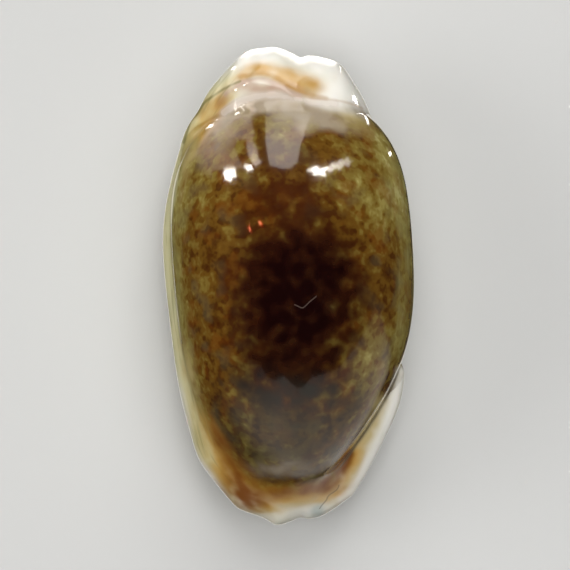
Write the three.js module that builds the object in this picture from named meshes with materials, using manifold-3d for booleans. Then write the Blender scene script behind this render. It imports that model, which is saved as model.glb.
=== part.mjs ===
// A wandering cowrie: one small, glossy, egg-shaped sea shell, lying on its flattened base with its back up.
// The shell is one grown piece. Its last whorl swells over everything else as a smooth back, and a collar of
// white callus thickens its sides and both ends. Underneath, a narrow toothed aperture runs from end to end.
// Inside, the hollow whorl holds the thin-walled spindle of the earlier whorls.
//
// Millimetres. +Y is the hind end with the buried spire, -Y the front end, +X the columella side,
// -X the side of the outer lip, and +Z points up out of the back. The base rests on z = 0.
import * as THREE from "three";
import { mergeVertices } from "three/addons/utils/BufferGeometryUtils.js";
import Module from "manifold-3d";

const HEIGHT = 12.2;
const WALL = 1.1;

// Last whorl: an ellipsoid about this centre. Its two half widths swell towards the hind end, by a share that
// is a sum of powers of the distance along the shell.
const WHORL = {
  centre: { x: 0.28, y: -0.23, z: 4.6 },
  outerLip: { half: 7.0, swell: [0.99, 0.0137, 0.00257, 0, -0.0000093] },
  columella: { half: 7.06, swell: [1, 0.0034, 0, 0.000385, 0, -0.0000019] },
  hindReach: 11.8,
  foreReach: 11.7,
  rise: HEIGHT - 4.6,
  drop: 4.4,
};

// Rim of the callus collar seen from above, from the hind notch round by the columella side.
const RIM = [
  [0.72, 13.34], [1.04, 13.47], [1.62, 13.47], [2.91, 13.07], [3.84, 11.93], [4.57, 10.66], [5.1, 9.26],
  [6.07, 6.78], [6.65, 3.28], [6.77, -0.23], [6.53, -2.86], [6.53, -4.2], [6.74, -4.73], [6.8, -5.43],
  [6.42, -7.21], [5.19, -9.85], [4.01, -11.9], [3.42, -12.51], [2.0, -13.45], [1.04, -13.64],
  [0.78, -13.52], [-0.6, -14.0], [-1.41, -13.58], [-2.64, -13.14], [-3.23, -12.73], [-4.86, -10.66],
  [-5.33, -9.81], [-5.72, -8.45], [-6.45, -5.1], [-7.23, 0.65], [-7.24, 4.15], [-6.38, 7.95],
  [-5.91, 9.3], [-5.27, 10.29], [-4.45, 11.69], [-2.64, 13.62], [-1.36, 13.98], [-0.6, 13.99], [0.4, 13.57],
];
const RIM_STEPS = 4;

// Callus collar: how high its rim sits, how far it rises above and drops below the rim, and over what width.
const COLLAR = {
  middle: { rim: 3.1, rise: 1.6, riseWidth: 1.5, bottom: -0.3, dropWidth: 5.5 },
  hind: { rim: 3.4, rise: 3.7, riseWidth: 3.2, bottom: 0.7, dropWidth: 3.2 },
  fore: { rim: 2.7, rise: 2.3, riseWidth: 2.6, bottom: 0.7, dropWidth: 3.2 },
};
const END_BEGINS = 7.0;
const END_COMPLETE = 12.6;

// Radius of the hollow seam between back and callus: a crisp crease on the columella side, filled at the hind
// end, soft on the outer-lip side and soft again at the front. A share grows along y and across x.
const SEAM = {
  crisp: 0.5,
  hind: { radius: 2.5, along: [8.6, 10.4], across: [-4.8, -3.0], acrossBack: [4.8, 3.0] },
  lipFlank: { radius: 0.9, along: [9.5, 7.5], across: [-3, -5.5] },
  outerLip: { radius: 1.6, along: [1, -8], across: [3, -1] },
  front: { radius: 2.4, along: [-8, -12.5], across: [4.5, 1] },
};

// Low fold of callus that curls round the outer-lip side of the hind end, on the collar.
const FOLD = {
  line: [[-5.6, 8.9], [-5.0, 9.8], [-4.45, 10.46], [-3.87, 10.99], [-3.05, 11.4], [-2.1, 11.63],
    [-1.3, 11.6], [-0.6, 11.4], [0.1, 11.08], [0.98, 10.9]],
  height: 0.2,
  halfWidth: 0.6,
  lowest: 3.0,
};

// Aperture: the slit between the lips, bowed towards the outer lip and wider at the front. It runs out at
// both ends as a short canal: its roof rises to meet the hollow, then falls to leave the rim whole above it.
// The lips round over into it, in a shallow valley.
const SLIT = {
  bowX: -0.6,
  endX: 0.74,
  hindEnd: 13.36,
  foreEnd: -13.55,
  hindHalf: 0.46,
  middleHalf: 0.58,
  foreHalf: 1.0,
  roof: 2.3,
  canalRoof: 3.5,
  canalRises: [9.2, 11.2],
  canalFalls: [11.2, 13.0],
  hindRoof: 2.6,
  foreRoof: 1.9,
  flare: 0.9,
  lipHeight: 0.8,
  valleyDepth: 1.0,
  valleyWidth: 1.4,
  valleyTop: 1.5,
};

// Teeth: short ridges across both lips.
const TEETH = {
  outerLip: { count: 15, from: -11.3, to: 11.4, reach: 1.2, side: -1 },
  columella: { count: 14, from: -10.7, to: 10.6, reach: 0.9, side: 1 },
  halfWidth: 0.5,
  depth: 0.5,
  overhang: 0.65,
  lean: 0.2,
  sunk: 0.25,
  clearance: 0.05,
};

// Spindle of the earlier whorls, a thin-walled roll beside the aperture, open on its far side.
const SPINDLE = {
  centre: { x: 2.0, y: 0.8, z: 4.3 },
  radius: 3.0,
  halfLength: 8.6,
  wall: 0.6,
  mouth: { width: 1.9, length: 7.0, height: 0.9, x: 5.0, z: 4.7 },
};

const mix = THREE.MathUtils.lerp;

// Eases from 0 to 1 as a value goes from one end to the other, in either direction.
function smooth(from, to, value) {
  const t = THREE.MathUtils.clamp((value - from) / (to - from), 0, 1);
  return t * t * (3 - 2 * t);
}

const power = (terms, value) => terms.reduce((sum, factor, i) => sum + factor * value ** i, 0);

// Distance from a plan point to a broken line; negative inside when the line is a closed outline.
function lineDistance(line, x, y, closed) {
  let nearest = Infinity;
  let inside = false;
  for (let i = closed ? 0 : 1; i < line.length; i++) {
    const [ax, ay] = line[(i + line.length - 1) % line.length];
    const [bx, by] = line[i];
    const share = ((x - ax) * (bx - ax) + (y - ay) * (by - ay)) / ((bx - ax) ** 2 + (by - ay) ** 2);
    const t = Math.min(Math.max(share, 0), 1);
    nearest = Math.min(nearest, Math.hypot(x - ax - t * (bx - ax), y - ay - t * (by - ay)));
    if (ay > y !== by > y && x < ax + ((y - ay) * (bx - ax)) / (by - ay)) inside = !inside;
  }
  return closed && inside ? -nearest : nearest;
}

// How far inside the rim each plan point lies, worked out once on a fine grid and then read between its
// nodes. The further in, the wider the spot it is averaged over, which rounds off the rim's small corners.
function rimDepthMap() {
  const knots = RIM.map(([x, y]) => new THREE.Vector3(x, y, 0));
  const curve = new THREE.CatmullRomCurve3(knots, true, "catmullrom");
  const line = curve.getPoints(RIM.length * RIM_STEPS).slice(0, -1).map((p) => [p.x, p.y]);
  const cell = 0.2;
  const reach = { x: 8.2, y: 15 };
  const across = Math.round((2 * reach.x) / cell) + 1;
  const along = Math.round((2 * reach.y) / cell) + 1;
  const grid = (value) => Float64Array.from({ length: across * along }, (_, i) =>
    value((i % across) * cell - reach.x, Math.floor(i / across) * cell - reach.y));
  const reader = (values) => (x, y) => {
    const u = THREE.MathUtils.clamp((x + reach.x) / cell, 0, across - 1.001);
    const v = THREE.MathUtils.clamp((y + reach.y) / cell, 0, along - 1.001);
    const corner = Math.floor(u) + across * Math.floor(v);
    const near = mix(values[corner], values[corner + 1], u % 1);
    return mix(near, mix(values[corner + across], values[corner + across + 1], u % 1), v % 1);
  };
  const exact = reader(grid((x, y) => -lineDistance(line, x, y, true)));
  const spots = 12;
  const spread = 0.55;
  return reader(grid((x, y) => {
    const radius = spread * Math.max(exact(x, y), 0);
    let sum = 0;
    for (let i = 0; i < spots; i++) {
      const angle = (2 * Math.PI * i) / spots;
      sum += exact(x + radius * Math.cos(angle), y + radius * Math.sin(angle));
    }
    return sum / spots;
  }));
}
const rimDepth = rimDepthMap();

// Distance to an ellipsoid from its local coordinates and half axes, near its surface.
function ellipsoidDistance(local, half) {
  const level = Math.hypot(...local.map((v, i) => v / half[i]));
  const slope = Math.hypot(...local.map((v, i) => v / half[i] ** 2));
  return (level * (level - 1)) / Math.max(slope, 1e-9);
}

function whorlDistance(x, y, z) {
  const along = THREE.MathUtils.clamp(y - WHORL.centre.y, -WHORL.foreReach, WHORL.hindReach);
  const side = x > WHORL.centre.x ? WHORL.columella : WHORL.outerLip;
  return ellipsoidDistance(
    [x - WHORL.centre.x, y - WHORL.centre.y, z - WHORL.centre.z],
    [
      side.half * power(side.swell, along),
      y > WHORL.centre.y ? WHORL.hindReach : WHORL.foreReach,
      z > WHORL.centre.z ? WHORL.rise : WHORL.drop,
    ],
  );
}

const hindShare = (y) => smooth(END_BEGINS, END_COMPLETE, y);
const foreShare = (y) => smooth(END_BEGINS, END_COMPLETE, -y);

function collarAt(key, y) {
  const share = y > 0 ? hindShare(y) : foreShare(y);
  return mix(COLLAR.middle[key], (y > 0 ? COLLAR.hind : COLLAR.fore)[key], share);
}

function collarDistance(x, y, z) {
  const inward = rimDepth(x, y);
  const rim = collarAt("rim", y);
  const above = z > rim;
  const width = collarAt(above ? "riseWidth" : "dropWidth", y);
  const height = above ? collarAt("rise", y) : rim - collarAt("bottom", y);
  const across = Math.max(1 - inward / width, 0);
  const upward = (z - rim) / height;
  const level = Math.hypot(across, upward);
  return (level * (level - 1)) / Math.max(Math.hypot(across / width, upward / height), 1e-9);
}

function seamRadius(x, y) {
  const { crisp, hind, lipFlank, outerLip, front } = SEAM;
  const shareOf = ({ along, across }) => smooth(...along, y) * smooth(...across, x);
  let radius = mix(crisp, hind.radius, shareOf(hind) * smooth(...hind.acrossBack, x));
  for (const place of [lipFlank, outerLip, front]) radius = mix(radius, place.radius, shareOf(place));
  return radius;
}

const slitX = (y) => mix(SLIT.bowX, SLIT.endX, Math.min((y / SLIT.hindEnd) ** 2, 1.1));
const slitHalf = (y) =>
  mix(mix(SLIT.middleHalf, SLIT.hindHalf, smooth(2, 11, y)), SLIT.foreHalf, smooth(-2, -9, y)) *
  mix(1, 0.7, smooth(-10.5, SLIT.foreEnd, y));

// The whole outside of the shell without its slit: whorl and collar melted together, flat where it rests.
function outsideDistance(x, y, z) {
  const foldShare = Math.exp(-((lineDistance(FOLD.line, x, y, false) / FOLD.halfWidth) ** 2));
  const valleyShare =
    Math.exp(-(((x - slitX(y)) / SLIT.valleyWidth) ** 2)) * smooth(SLIT.valleyTop + 1, SLIT.valleyTop, z);
  const whorl = whorlDistance(x, y, z);
  const collar = collarDistance(x, y, z) - FOLD.height * foldShare * smooth(FOLD.lowest, WHORL.centre.z, z);
  const radius = seamRadius(x, y);
  const overlap = Math.max(radius - Math.abs(whorl - collar), 0) / radius;
  const joined = Math.min(whorl, collar) - (overlap ** 2 * radius) / 4;
  return Math.max(joined + SLIT.valleyDepth * valleyShare, -z);
}

function hollowDistance(x, y, z) {
  return whorlDistance(x, y, z) + WALL;
}

// A closed skin where rays out of a long core first leave a form. Rings run round the core from its top to
// its bottom, closest together a little above mid height, where the callus meets the back. The lines that
// cross them crowd towards the two ends.
function skin(distance, { centre, half, coreHalf, lines, rings }) {
  const crowdEnds = 0.15;
  const crowdMiddle = 0.2;
  const crowdUpper = 0.35;
  const positions = [];
  const ids = [];
  for (let ring = 0; ring <= rings; ring++) {
    const share = ring / rings;
    const climb = Math.PI * (0.5 - share) - crowdMiddle * Math.sin(2 * Math.PI * share) +
      crowdUpper * Math.sin(Math.PI * share) ** 2;
    const pole = ring === 0 || ring === rings;
    const flat = pole ? 0 : Math.cos(climb);
    const row = [];
    for (let line = 0; line < lines; line++) {
      if (pole && line > 0) {
        row.push(row[0]);
        continue;
      }
      const turn = (2 * Math.PI * line) / lines;
      const angle = turn + crowdEnds * Math.sin(2 * turn);
      const from = [centre[0], centre[1] + coreHalf * Math.sin(angle) * flat, centre[2]];
      const way = [
        half[0] * Math.cos(angle) * flat,
        (half[1] - coreHalf) * Math.sin(angle) * flat,
        half[2] * Math.sin(climb),
      ];
      const insideAt = (t) => distance(from[0] + t * way[0], from[1] + t * way[1], from[2] + t * way[2]) < 0;
      const stride = 0.03;
      let far = stride;
      while (insideAt(far)) far += stride;
      let near = far - stride;
      for (let halving = 0; halving < 24; halving++) {
        const t = (near + far) / 2;
        if (insideAt(t)) near = t;
        else far = t;
      }
      row.push(positions.length / 3);
      positions.push(...from.map((v, i) => v + near * way[i]));
    }
    ids.push(row);
  }
  const index = [];
  const face = (a, b, c) => {
    if (a !== b && b !== c && c !== a) index.push(a, b, c);
  };
  for (let ring = 0; ring < rings; ring++) {
    for (let line = 0; line < lines; line++) {
      const next = (line + 1) % lines;
      face(ids[ring][line], ids[ring + 1][line], ids[ring + 1][next]);
      face(ids[ring][line], ids[ring + 1][next], ids[ring][next]);
    }
  }
  const geometry = new THREE.BufferGeometry();
  geometry.setAttribute("position", new THREE.Float32BufferAttribute(positions, 3));
  geometry.setIndex(index);
  return geometry;
}

const wasm = await Module();
wasm.setup();

function solidOf(geometry) {
  const bare = geometry.clone();
  bare.deleteAttribute("normal");
  bare.deleteAttribute("uv");
  const merged = mergeVertices(bare, 1e-4);
  return new wasm.Manifold(
    new wasm.Mesh({
      numProp: 3,
      vertProperties: new Float32Array(merged.attributes.position.array),
      triVerts: new Uint32Array(merged.index.array),
    }),
  );
}

// The solid's mesh, with the corners that cuts leave almost on top of each other welded into one.
function geometryOf(solid) {
  const { vertProperties, triVerts } = solid.getMesh();
  const tooClose = 0.01;
  const corners = [];
  for (let i = 0; i < vertProperties.length; i += 3) {
    corners.push(new THREE.Vector3(...vertProperties.slice(i, i + 3)));
  }
  const home = [];
  corners.forEach((corner, i) => {
    let j = 0;
    while (j < i && corner.distanceTo(corners[j]) > tooClose) j++;
    home.push(j < i ? home[j] : i);
  });
  const index = [];
  for (let i = 0; i < triVerts.length; i += 3) {
    const [a, b, c] = [home[triVerts[i]], home[triVerts[i + 1]], home[triVerts[i + 2]]];
    if (a !== b && b !== c && c !== a) index.push(a, b, c);
  }
  const geometry = new THREE.BufferGeometry().setFromPoints(corners);
  geometry.setIndex(index);
  geometry.computeVertexNormals();
  return geometry;
}

function outside() {
  return solidOf(
    skin(outsideDistance, {
      centre: [0.2, 0, 4.2],
      half: [7.3, 14, HEIGHT - 4.2],
      coreHalf: 10.6,
      lines: 88,
      rings: 34,
    }),
  );
}

function hollow() {
  const { x, y, z } = WHORL.centre;
  return solidOf(
    skin(hollowDistance, {
      centre: [x, y, z],
      half: [WHORL.columella.half, WHORL.hindReach, WHORL.rise],
      coreHalf: 6,
      lines: 24,
      rings: 10,
    }),
  );
}

// A spindle shape turned about the long axis, smaller by its wall for the inside.
function spindleTurned(inset, segments) {
  const steps = 10;
  const half = SPINDLE.halfLength - inset;
  const profile = [];
  for (let i = 0; i <= steps; i++) {
    const angle = (Math.PI * i) / steps - Math.PI / 2;
    const along = half * Math.sin(angle);
    const onAxis = i === 0 || i === steps;
    const radius = onAxis ? 0 : (SPINDLE.radius - inset) * Math.cos(angle);
    profile.push(new THREE.Vector2(radius, along));
  }
  const geometry = new THREE.LatheGeometry(profile, segments);
  return solidOf(geometry.translate(SPINDLE.centre.x, SPINDLE.centre.y, SPINDLE.centre.z));
}

function spindle() {
  const { width, length, height, x, z } = SPINDLE.mouth;
  const mouth = solidOf(new THREE.BoxGeometry(width, length, height).translate(x, SPINDLE.centre.y, z));
  return spindleTurned(0, 16).subtract(spindleTurned(SPINDLE.wall, 12)).subtract(mouth);
}

// The space of the aperture: a round-roofed slit that flares between the lips, lofted from end to end.
function slit() {
  const steps = 20;
  const past = 1.0;
  const below = -1.0;
  const positions = [];
  const index = [];
  const section = (y) => {
    const half = slitHalf(y);
    const lift = Math.max(collarAt("bottom", y), 0);
    const raised = mix(SLIT.roof, SLIT.canalRoof, smooth(...SLIT.canalRises, Math.abs(y)));
    const roof = mix(raised, y > 0 ? SLIT.hindRoof : SLIT.foreRoof, smooth(...SLIT.canalFalls, Math.abs(y)));
    const side = [
      [half + SLIT.flare, below + lift],
      [half + SLIT.flare / 3, SLIT.lipHeight / 3 + lift],
      [half, SLIT.lipHeight + lift],
      [half, roof - half / 2],
      [half / 2, roof],
    ];
    return [...side, ...side.map(([across, z]) => [-across, z]).reverse()];
  };
  const around = 10;
  for (let i = 0; i <= steps; i++) {
    const y = mix(SLIT.foreEnd - past, SLIT.hindEnd + past, i / steps);
    for (const [across, z] of section(y)) positions.push(slitX(y) + across, y, z);
    for (let j = 0; j < around && i < steps; j++) {
      const a = i * around + j;
      const b = i * around + ((j + 1) % around);
      index.push(a, b + around, b, a, a + around, b + around);
    }
  }
  for (let j = 1; j < around - 1; j++) {
    index.push(0, j, j + 1, steps * around, steps * around + j + 1, steps * around + j);
  }
  const geometry = new THREE.BufferGeometry();
  geometry.setAttribute("position", new THREE.Float32BufferAttribute(positions, 3));
  geometry.setIndex(index);
  return solidOf(geometry);
}

// Height of the base over a plan point, found by halving.
function baseHeight(x, y) {
  let low = -1;
  let high = 2.6;
  for (let halving = 0; halving < 24; halving++) {
    const z = (low + high) / 2;
    if (outsideDistance(x, y, z) > 0) low = z;
    else high = z;
  }
  return high;
}

// One row of ridges, each running square across its lip and leaning up into the slit.
function teeth({ count, from, to, reach, side }) {
  const profile = [[0, -1], [0.8, -0.8], [1, 0], [0.8, 0.8], [0, 1]].map(([x, y]) => new THREE.Vector2(x, y));
  const lowest = Math.hypot(TEETH.depth, reach * Math.sin(TEETH.lean)) + TEETH.clearance;
  const made = [];
  for (let i = 0; i < count; i++) {
    const y = mix(from, to, i / (count - 1));
    const x = slitX(y) + side * (slitHalf(y) + (1 - TEETH.overhang) * reach);
    const turn = Math.atan2(slitX(y + 0.1) - slitX(y - 0.1), 0.2);
    const geometry = new THREE.LatheGeometry(profile, 6)
      .rotateZ(Math.PI / 2)
      .scale(reach, TEETH.halfWidth, TEETH.depth)
      .rotateY(side * TEETH.lean)
      .rotateZ(-turn)
      .translate(x, y, Math.max(baseHeight(x, y) + TEETH.sunk, lowest));
    made.push(solidOf(geometry));
  }
  return made;
}

function shell() {
  let solid = outside().subtract(hollow()).add(spindle()).subtract(slit());
  for (const tooth of [...teeth(TEETH.outerLip), ...teeth(TEETH.columella)]) solid = solid.add(tooth);
  const geometry = geometryOf(solid);
  geometry.computeBoundingBox();
  const { min, max } = geometry.boundingBox;
  geometry.translate(-(min.x + max.x) / 2, -(min.y + max.y) / 2, -min.z);
  return geometry;
}

const enamel = new THREE.MeshStandardMaterial({ color: 0x6b5326, roughness: 0.12, metalness: 0 });
const cowrie = new THREE.Group();
const body = new THREE.Mesh(shell(), enamel);
body.name = "shell";
cowrie.add(body);

export default cowrie;
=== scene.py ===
import math

import bpy
import numpy as np
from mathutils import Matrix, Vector


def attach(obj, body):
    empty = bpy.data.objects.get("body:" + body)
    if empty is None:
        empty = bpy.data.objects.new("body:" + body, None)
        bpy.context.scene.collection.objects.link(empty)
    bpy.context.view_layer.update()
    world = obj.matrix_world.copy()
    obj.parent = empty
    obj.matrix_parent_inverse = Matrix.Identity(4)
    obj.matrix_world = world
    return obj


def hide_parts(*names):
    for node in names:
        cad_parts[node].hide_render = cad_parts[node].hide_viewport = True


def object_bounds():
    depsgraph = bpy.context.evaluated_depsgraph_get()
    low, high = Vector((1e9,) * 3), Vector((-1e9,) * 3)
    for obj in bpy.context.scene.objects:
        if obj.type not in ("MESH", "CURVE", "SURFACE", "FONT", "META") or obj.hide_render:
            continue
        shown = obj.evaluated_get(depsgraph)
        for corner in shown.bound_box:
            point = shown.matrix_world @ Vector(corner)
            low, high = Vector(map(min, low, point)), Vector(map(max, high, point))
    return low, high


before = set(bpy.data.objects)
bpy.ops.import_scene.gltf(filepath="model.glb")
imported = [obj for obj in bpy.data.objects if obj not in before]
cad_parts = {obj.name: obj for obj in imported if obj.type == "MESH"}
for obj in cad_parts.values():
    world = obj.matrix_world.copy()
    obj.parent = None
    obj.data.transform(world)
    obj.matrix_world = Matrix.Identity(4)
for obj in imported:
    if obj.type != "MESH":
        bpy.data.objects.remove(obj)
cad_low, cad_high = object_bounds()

MM = 0.001


# Form of the shell
# The whole shell is one grown piece of aragonite: the last whorl, glazed over by the animal's mantle, melts
# into a collar of callus that thickens its sides and ends. Its shape is a distance field in millimetres,
# the same rules as in the solid, skinned on a fine grid. +Y is the hind end and -X the outer lip's side.

HEIGHT = 12.2
WALL = 1.1
WHORL_CENTRE = (0.28, -0.23, 4.6)
HIND_REACH = 11.8
FORE_REACH = 11.7
RISE = HEIGHT - WHORL_CENTRE[2]
DROP = 4.4
LIP_SIDE = {"half": 7.0, "swell": (0.99, 0.0137, 0.00257, 0, -0.0000093)}
COLUMELLA_SIDE = {"half": 7.06, "swell": (1, 0.0034, 0, 0.000385, 0, -0.0000019)}

# Rim of the callus collar seen from above, from the hind notch round by the columella side.
RIM = [
    (0.72, 13.34), (1.04, 13.47), (1.62, 13.47), (2.91, 13.07), (3.84, 11.93), (4.57, 10.66), (5.1, 9.26),
    (6.07, 6.78), (6.65, 3.28), (6.77, -0.23), (6.53, -2.86), (6.53, -4.2), (6.74, -4.73), (6.8, -5.43),
    (6.42, -7.21), (5.19, -9.85), (4.01, -11.9), (3.42, -12.51), (2.0, -13.45), (1.04, -13.64),
    (0.78, -13.52), (-0.6, -14.0), (-1.41, -13.58), (-2.64, -13.14), (-3.23, -12.73), (-4.86, -10.66),
    (-5.33, -9.81), (-5.72, -8.45), (-6.45, -5.1), (-7.23, 0.65), (-7.24, 4.15), (-6.38, 7.95),
    (-5.91, 9.3), (-5.27, 10.29), (-4.45, 11.69), (-2.64, 13.62), (-1.36, 13.98), (-0.6, 13.99),
    (0.4, 13.57),
]

# How high the collar's rim sits, how far it rises above and drops below the rim, and over what width. The
# middle gives way to an end between these two distances along the shell.
END_BEGINS = 7.0
END_COMPLETE = 12.6
COLLAR = {
    "middle": {"rim": 3.1, "rise": 1.6, "rise width": 1.5, "bottom": -0.3, "drop width": 5.5},
    "hind": {"rim": 3.4, "rise": 3.7, "rise width": 3.2, "bottom": 0.7, "drop width": 3.2},
    "fore": {"rim": 2.7, "rise": 2.3, "rise width": 2.6, "bottom": 0.7, "drop width": 3.2},
}

# Low folds of callus that curl round the hind end: one broad swelling, a narrow crest on it and the furrow
# that bounds it. Each is a line seen from above, a height and a half width. They fade out down the sides.
FOLDS_FADE = (3.0, 4.6)
FOLDS = [
    {
        "line": [(-5.6, 8.9), (-5.0, 9.8), (-4.45, 10.46), (-3.87, 10.99), (-3.05, 11.4), (-2.1, 11.63),
                 (-1.3, 11.6), (-0.6, 11.4), (0.1, 11.08), (0.98, 10.9)],
        "height": 0.2,
        "half width": 0.6,
    },
    {
        "line": [(-4.6, 9.9), (-3.3, 11.42), (-2.64, 11.81), (-1.96, 11.95), (-1.3, 11.98), (-0.83, 11.89),
                 (-0.36, 11.63), (0.1, 11.22), (0.46, 11.06), (1.3, 11.07)],
        "height": 0.07,
        "half width": 0.2,
    },
    {
        "line": [(-5.25, 10.05), (-4.1, 11.25), (-3.45, 11.6), (-2.9, 12.15), (-2.2, 12.35), (-1.4, 12.36),
                 (-0.77, 12.1), (-0.07, 11.76), (0.57, 11.3), (1.27, 11.03), (2.27, 10.89)],
        "height": -0.05,
        "half width": 0.2,
    },
]


def mix(start, end, share):
    """The value at this share of the way from start to end."""
    return start + (end - start) * share


def smooth(start, end, value):
    """Eases from 0 to 1 as a value goes from start to end, in either direction."""
    share = np.clip((value - start) / (end - start), 0, 1)
    return share * share * (3 - 2 * share)


def power_sum(terms, value):
    """A sum of powers of the value, each times its factor."""
    total = 0
    for factor in reversed(terms):
        total = total * value + factor
    return total


def round_line(points, closed, steps=8):
    """The points joined by a smooth curve, with this many steps between two of them."""
    points = np.asarray(points, float)
    made = []
    for i in range(len(points) if closed else len(points) - 1):
        if closed:
            before, here, there, after = (points[(i + k) % len(points)] for k in (-1, 0, 1, 2))
        else:
            here, there = points[i], points[i + 1]
            before = points[i - 1] if i else 2 * here - there
            after = points[i + 2] if i + 2 < len(points) else 2 * there - here
        t = np.arange(steps)[:, None] / steps
        made.append(0.5 * (2 * here + (there - before) * t
                           + (2 * before - 5 * here + 4 * there - after) * t ** 2
                           + (3 * here - before - 3 * there + after) * t ** 3))
    if not closed:
        made.append(points[-1:])
    return np.vstack(made)


def line_distance(line, x, y, closed):
    """Distance to a broken line seen from above, negative inside a closed one."""
    nearest = np.full(np.broadcast(x, y).shape, 1e9)
    inside = np.zeros(nearest.shape, bool)
    for i in range(0 if closed else 1, len(line)):
        (ax, ay), (bx, by) = line[i - 1], line[i]
        dx, dy = bx - ax, by - ay
        share = np.clip(((x - ax) * dx + (y - ay) * dy) / (dx ** 2 + dy ** 2), 0, 1)
        nearest = np.minimum(nearest, (x - ax - share * dx) ** 2 + (y - ay - share * dy) ** 2)
        if closed and dy != 0:
            inside ^= ((ay > y) != (by > y)) & (x < ax + (y - ay) * dx / dy)
    nearest = np.sqrt(nearest)
    return np.where(inside, -nearest, nearest)


# Values that depend on the plan alone are worked out once on this grid and then read smoothly between its
# nodes, which also keeps the gloss free of ripples.
PLAN_CELL = 0.15
plan_x = np.arange(-8.25, 8.26, PLAN_CELL)
plan_y = np.arange(-15.0, 15.01, PLAN_CELL)
plan = np.meshgrid(plan_x, plan_y, indexing="ij")


def read_plan(values, x, y):
    """Reads values on the plan's grid, each from its nine nearest nodes."""
    u = np.clip((x - plan_x[0]) / PLAN_CELL, 1, len(plan_x) - 2.001)
    v = np.clip((y - plan_y[0]) / PLAN_CELL, 1, len(plan_y) - 2.001)
    i, j = np.rint(u).astype(int), np.rint(v).astype(int)
    u, v = u - i, v - j
    along_x = (0.5 * (0.5 - u) ** 2, 0.75 - u ** 2, 0.5 * (0.5 + u) ** 2)
    along_y = (0.5 * (0.5 - v) ** 2, 0.75 - v ** 2, 0.5 * (0.5 + v) ** 2)
    total = 0
    for a in range(3):
        for b in range(3):
            total = total + along_x[a] * along_y[b] * values[i + a - 1, j + b - 1]
    return total


# How far inside the rim each plan point lies. The further in, the wider the spot it is averaged over, which
# rounds off the rim's small corners.
exact_depth = -line_distance(round_line(RIM, True), *plan, True)
spot_radius = 0.85 * np.maximum(exact_depth, 0)
SPOTS = 12
rim_depth = sum(
    read_plan(exact_depth, plan[0] + spot_radius * math.cos(turn), plan[1] + spot_radius * math.sin(turn))
    for turn in np.arange(SPOTS) * 2 * math.pi / SPOTS
) / SPOTS
fold_height = np.zeros_like(exact_depth)
for fold in FOLDS:
    away = line_distance(round_line(fold["line"], False), *plan, False) / fold["half width"]
    fold_height = fold_height + fold["height"] * np.exp(-away ** 2)


def whorl_distance(x, y, z):
    """The last whorl: an ellipsoid whose two half widths swell towards the hind end."""
    cx, cy, cz = WHORL_CENTRE
    along = np.clip(y - cy, -FORE_REACH, HIND_REACH)
    half_x = np.where(
        x > cx,
        COLUMELLA_SIDE["half"] * power_sum(COLUMELLA_SIDE["swell"], along),
        LIP_SIDE["half"] * power_sum(LIP_SIDE["swell"], along),
    )
    half_y = np.where(y > cy, HIND_REACH, FORE_REACH)
    half_z = np.where(z > cz, RISE, DROP)
    a, b, c = (x - cx) / half_x, (y - cy) / half_y, (z - cz) / half_z
    level = np.sqrt(a * a + b * b + c * c)
    slope = np.sqrt((a / half_x) ** 2 + (b / half_y) ** 2 + (c / half_z) ** 2)
    return level * (level - 1) / np.maximum(slope, 1e-9)


def collar_at(key, y):
    """One measure of the collar at a place along the shell."""
    end = np.where(y > 0, COLLAR["hind"][key], COLLAR["fore"][key])
    return mix(COLLAR["middle"][key], end, smooth(END_BEGINS, END_COMPLETE, np.abs(y)))


def collar_distance(x, y, z):
    """The callus collar: its section is a quarter oval above the rim and another below it."""
    inward = read_plan(rim_depth, x, y)
    rim = collar_at("rim", y)
    above = z > rim
    width = np.where(above, collar_at("rise width", y), collar_at("drop width", y))
    height = np.where(above, collar_at("rise", y), rim - collar_at("bottom", y))
    across = np.maximum(1 - inward / width, 0)
    upward = (z - rim) / height
    level = np.hypot(across, upward)
    distance = level * (level - 1) / np.maximum(np.hypot(across / width, upward / height), 1e-9)
    return distance - read_plan(fold_height, x, y) * smooth(*FOLDS_FADE, z)


# Radius of the hollow seam between back and callus: crisp on the columella side, filled at the hind end and
# soft on the outer lip's side and at the front. Each fades in between two places along and across the shell.
SEAM = {
    "crisp": 0.22,
    "hind": {"radius": 2.5, "along": (8.6, 10.4), "across": (4.8, 3.0)},
    "lip flank": {"radius": 0.9, "along": (9.5, 7.5), "across": (-3, -5.5)},
    "outer lip": {"radius": 1.6, "along": (1, -8), "across": (3, -1)},
    "front": {"radius": 2.4, "along": (-8, -12.5), "across": (4.5, 1)},
}


def seam_radius(x, y):
    radius = SEAM["crisp"]
    for name, across in (("hind", np.abs(x)), ("lip flank", x), ("outer lip", x), ("front", x)):
        part = SEAM[name]
        radius = mix(radius, part["radius"], smooth(*part["along"], y) * smooth(*part["across"], across))
    return radius


def melt(a, b, radius):
    """The union of two forms, with the seam between them filled in a hollow curve."""
    overlap = np.maximum(radius - np.abs(a - b), 0) / radius
    return np.minimum(a, b) - overlap ** 2 * radius / 4


# Aperture: a slit between the lips, bowed towards the outer lip and wider at the front. It runs out at both
# ends as a short canal: its round roof rises to meet the hollow, then falls to leave the rim whole above it.
SLIT = {
    "bow x": -0.6,
    "end x": 0.74,
    "hind end": 13.36,
    "fore end": -13.55,
    "hind half": 0.46,
    "middle half": 0.58,
    "fore half": 1.0,
    "end share": 0.7,
    "roof": 2.3,
    "canal roof": 3.5,
    "canal rises": (9.2, 11.2),
    "canal falls": (11.2, 13.0),
    "hind roof": 2.6,
    "fore roof": 1.9,
}


def slit_x(y):
    return mix(SLIT["bow x"], SLIT["end x"], np.minimum((y / SLIT["hind end"]) ** 2, 1.1))


def slit_half(y):
    half = mix(SLIT["middle half"], SLIT["hind half"], smooth(2, 11, y))
    half = mix(half, SLIT["fore half"], smooth(-2, -9, y))
    return half * mix(1, SLIT["end share"], smooth(-10.5, SLIT["fore end"], y))


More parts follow.
